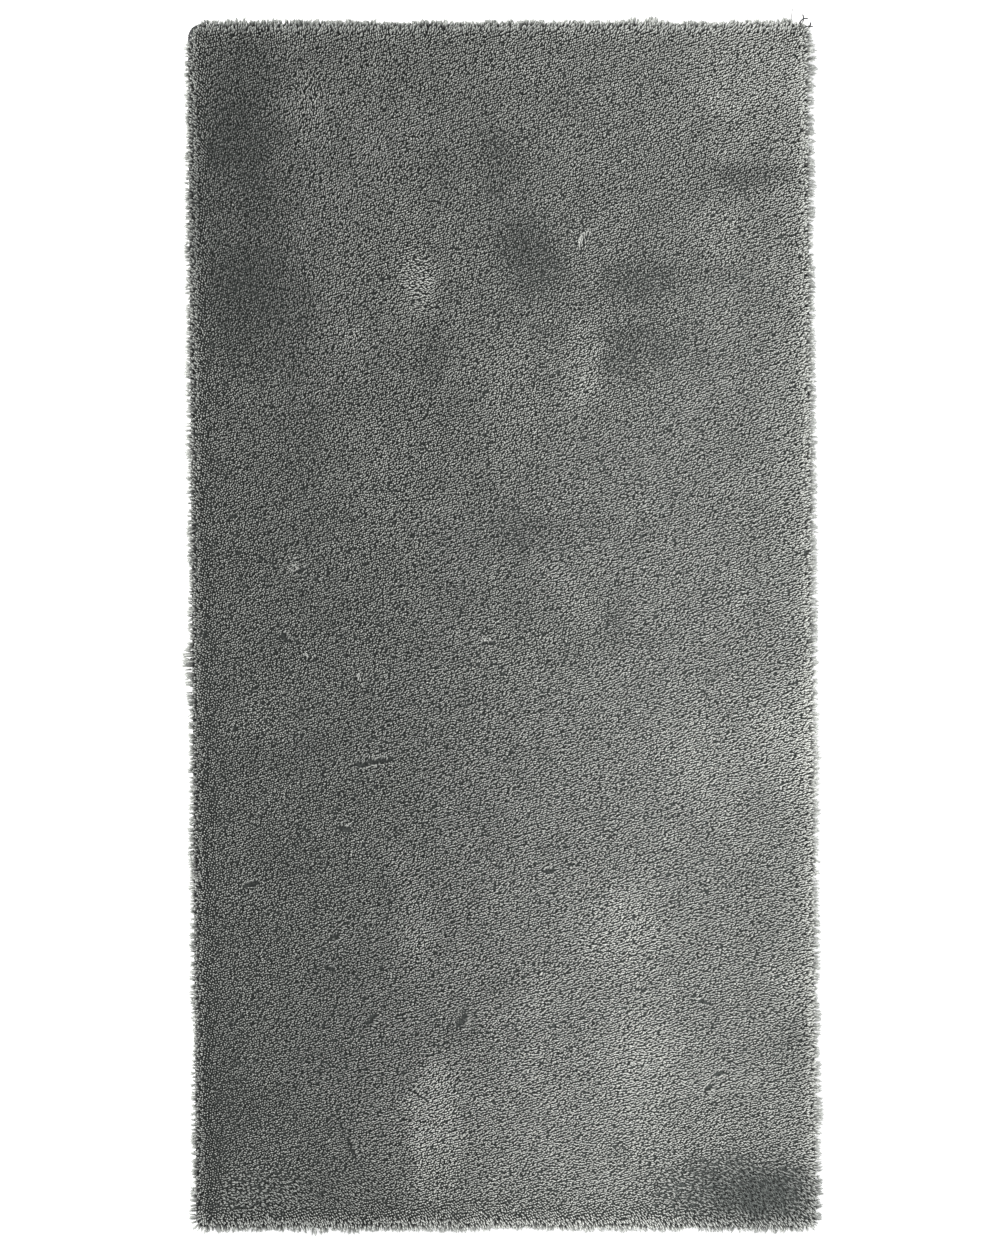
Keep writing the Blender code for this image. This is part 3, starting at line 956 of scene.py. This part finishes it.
BED_INSET = 5 * MM
BED_COLUMNS, BED_ROWS = 36, 72
BED_RIM, BED_FALL = 25 * MM, 0.45  # how far in it falls off to its rim, and by what share
BED_BOTTOM = 0.2 * MM  # above the cloth

FLOOR_SIZE = 6.0
FLOOR_DROP = 0.5 * MM
FLOOR_GLOW = 0.35
SKY_COLOUR = (0.97, 0.985, 1.0, 1.0)
SKY_STRENGTH = 0.62
CAMERA_HEIGHT = 9.0
SENSOR_HEIGHT = 24.0

Lamp = namedtuple("Lamp", "name place size power colour")
LAMPS = [
    Lamp(name="key_light", place=(-3.4, 2.2, 4.2), size=2.4, power=330.0, colour=(1.0, 0.985, 0.955)),
    Lamp(name="top_light", place=(0.6, -0.4, 5.2), size=2.4, power=200.0, colour=(1.0, 1.0, 1.0)),
]


class RUG_OT_backing_cloth(bpy.types.Operator):
    """Lays the woven backing cloth on the floor"""

    bl_idname = "rug.backing_cloth"
    bl_label = "Backing cloth"

    def execute(self, context):
        bm = bmesh.new()
        thickness = CLOTH_TOP - CLOTH_BOTTOM - THREAD_RISE
        size = Matrix.Diagonal((2 * HALF_WIDTH, 2 * HALF_LENGTH, thickness, 1.0))
        place = Matrix.Translation((0, 0, CLOTH_BOTTOM + thickness / 2))
        bmesh.ops.create_cube(bm, size=1.0, matrix=place @ size)
        upright = [edge for edge in bm.edges if edge.verts[0].co.z != edge.verts[1].co.z]
        for edge in upright:
            at = edge.verts[0].co
            radius = CUT_CORNER_RADIUS if at.x < 0 < at.y else CORNER_RADIUS
            bmesh.ops.bevel(
                bm, geom=[edge], offset=radius, segments=6, profile=0.5, affect="EDGES", material=-1
            )
        for vert in bm.verts:
            vert.co.x, vert.co.y = skewed(vert.co.x, vert.co.y)
        cloth = add_shape("backing_cloth", bm, cloth_material())
        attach(cloth, BODY)
        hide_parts("backing")
        return {"FINISHED"}


class RUG_OT_edge_stitches(bpy.types.Operator):
    """Overlocks the cloth's edge with dark thread, and leaves its loose ends at the far right corner"""

    bl_idname = "rug.edge_stitches"
    bl_label = "Edge stitches"

    def execute(self, context):
        material = thread_material()
        ends = [thread_end_points(end) for end in THREAD_ENDS]
        threads = [
            ("edge_stitches", [stitch_points()], sizes().thread_width, True),
            ("thread_ends", ends, END_WIDTH, False),
            ("loose_hair", [thread_end_points(LOOSE_HAIR)], HAIR_WIDTH, False),
        ]
        for name, routes, width, closed in threads:
            thread = add_object(name, thread_mesh(name, routes, width, closed), material)
            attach(thread, BODY)
        return {"FINISHED"}


class RUG_OT_pile_bed(bpy.types.Operator):
    """Makes the dense lower pile that fills the space between the strands"""

    bl_idname = "rug.pile_bed"
    bl_label = "Lower pile"

    def execute(self, context):
        bm = bmesh.new()
        size = Matrix.Diagonal((HALF_WIDTH - BED_INSET, HALF_LENGTH - BED_INSET, 1.0, 1.0))
        bmesh.ops.create_grid(bm, x_segments=BED_COLUMNS, y_segments=BED_ROWS, size=1.0, matrix=size)
        for vert in bm.verts:
            x, y = vert.co.x, vert.co.y
            rim = min(HALF_WIDTH - abs(x), HALF_LENGTH - abs(y)) - BED_INSET
            low = BED_FALL * (1 - min(rim / BED_RIM, 1.0)) ** 2
            vert.co.z = CLOTH_TOP + sizes().bed_height * (1 - low)
            vert.co.x, vert.co.y = skewed(x, y)
        rim_edges = [edge for edge in bm.edges if edge.is_boundary]
        made = bmesh.ops.extrude_edge_only(bm, edges=rim_edges)["geom"]
        for vert in [part for part in made if isinstance(part, bmesh.types.BMVert)]:
            vert.co.z = CLOTH_TOP + BED_BOTTOM
        bmesh.ops.contextual_create(bm, geom=[edge for edge in bm.edges if edge.is_boundary])
        bmesh.ops.recalc_face_normals(bm, faces=bm.faces)
        bed = add_shape("pile_bed", bm, bed_material())
        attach(bed, BODY)
        return {"FINISHED"}


class RUG_OT_pile(bpy.types.Operator):
    """Lays the pile's strands, in strips along the rug"""

    bl_idname = "rug.pile"
    bl_label = "Pile"

    STRIPS = 6

    def execute(self, context):
        material = yarn_material()
        draw = np.random.default_rng(sizes().seed)
        field = laid_strands(draw, sizes().spacing, RIM_DEPTH, 1.0)
        rim = laid_strands(draw, sizes().rim_spacing, -1.0, RIM_DEPTH)
        field_shape, rim_shape = strand_shape(FIELD_RINGS), strand_shape(RIM_RINGS)
        width = 2 * HALF_WIDTH / self.STRIPS
        for number in range(self.STRIPS):
            groups = []
            for strands, shape in ((field, field_shape), (rim, rim_shape)):
                strip = np.clip(np.floor((strands.x + HALF_WIDTH) / width), 0, self.STRIPS - 1)
                groups.append((pick(strands, strip == number), shape))
            name = f"pile_strip_{number + 1}"
            piece = add_object(name, strand_mesh(name, groups, draw), material)
            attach(piece, BODY)
            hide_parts("pile")
        return {"FINISHED"}


class RUG_OT_stage(bpy.types.Operator):
    """Sets up the pale floor, the soft light and the camera straight above"""

    bl_idname = "rug.stage"
    bl_label = "Stage"

    def execute(self, context):
        scene = context.scene
        bm = bmesh.new()
        bmesh.ops.create_grid(bm, x_segments=1, y_segments=1, size=FLOOR_SIZE)
        material, _, shader = new_material("floor", roughness=0.9)
        shader.inputs["Base Color"].default_value = (*colours().floor, 1.0)
        shader.inputs["Emission Color"].default_value = (*colours().floor, 1.0)
        shader.inputs["Emission Strength"].default_value = FLOOR_GLOW
        floor = add_shape("floor", bm, material)
        floor.location.z = -FLOOR_DROP

        world = bpy.data.worlds.new("studio")
        scene.world = world
        world.use_nodes = True
        background = world.node_tree.nodes["Background"]
        background.inputs["Color"].default_value = SKY_COLOUR
        background.inputs["Strength"].default_value = SKY_STRENGTH
        for lamp in LAMPS:
            data = bpy.data.lights.new(lamp.name, "AREA")
            data.size, data.energy, data.color = lamp.size, lamp.power, lamp.colour
            holder = bpy.data.objects.new(lamp.name, data)
            holder.location = lamp.place
            holder.rotation_euler = (-Vector(lamp.place)).to_track_quat("-Z", "Y").to_euler()
            scene.collection.objects.link(holder)

        camera_data = bpy.data.cameras.new("camera")
        camera = bpy.data.objects.new("camera", camera_data)
        scene.collection.objects.link(camera)
        distance = CAMERA_HEIGHT - CLOTH_TOP
        camera_data.sensor_fit = "VERTICAL"
        camera_data.sensor_height = SENSOR_HEIGHT
        camera_data.lens = SENSOR_HEIGHT * distance / (PHOTO_HEIGHT * PIXEL)
        across = (PHOTO_WIDTH / 2 - RUG_MIDDLE[0]) * PIXEL
        along = (RUG_MIDDLE[1] - PHOTO_HEIGHT / 2) * PIXEL
        camera.location = (across, along, CAMERA_HEIGHT)
        scene.camera = camera
        scene.view_settings.view_transform = "Standard"
        return {"FINISHED"}


class RUG_PT_panel(bpy.types.Panel):
    """Lists the rug's pieces and sizes"""

    bl_idname = "RUG_PT_panel"
    bl_label = "Shag rug"
    bl_space_type = "VIEW_3D"
    bl_region_type = "UI"
    bl_category = "Rug"

    def draw(self, context):
        for piece in PIECES:
            self.layout.operator(piece.bl_idname)
        for group in (context.scene.rug_sizes, context.scene.rug_colours):
            for name in group.__annotations__:
                self.layout.prop(group, name)


PIECES = (RUG_OT_backing_cloth, RUG_OT_edge_stitches, RUG_OT_pile_bed, RUG_OT_pile, RUG_OT_stage)
CLASSES = (RugSizes, RugColours, *PIECES, RUG_PT_panel)


def register():
    for cls in CLASSES:
        bpy.utils.register_class(cls)
    bpy.types.Scene.rug_sizes = PointerProperty(type=RugSizes)
    bpy.types.Scene.rug_colours = PointerProperty(type=RugColours)


def unregister():
    del bpy.types.Scene.rug_colours
    del bpy.types.Scene.rug_sizes
    for cls in reversed(CLASSES):
        bpy.utils.unregister_class(cls)


def main():
    register()
    bpy.ops.rug.backing_cloth()
    bpy.ops.rug.edge_stitches()
    bpy.ops.rug.pile_bed()
    bpy.ops.rug.pile()
    bpy.ops.rug.stage()


if __name__ == "__main__":
    main()
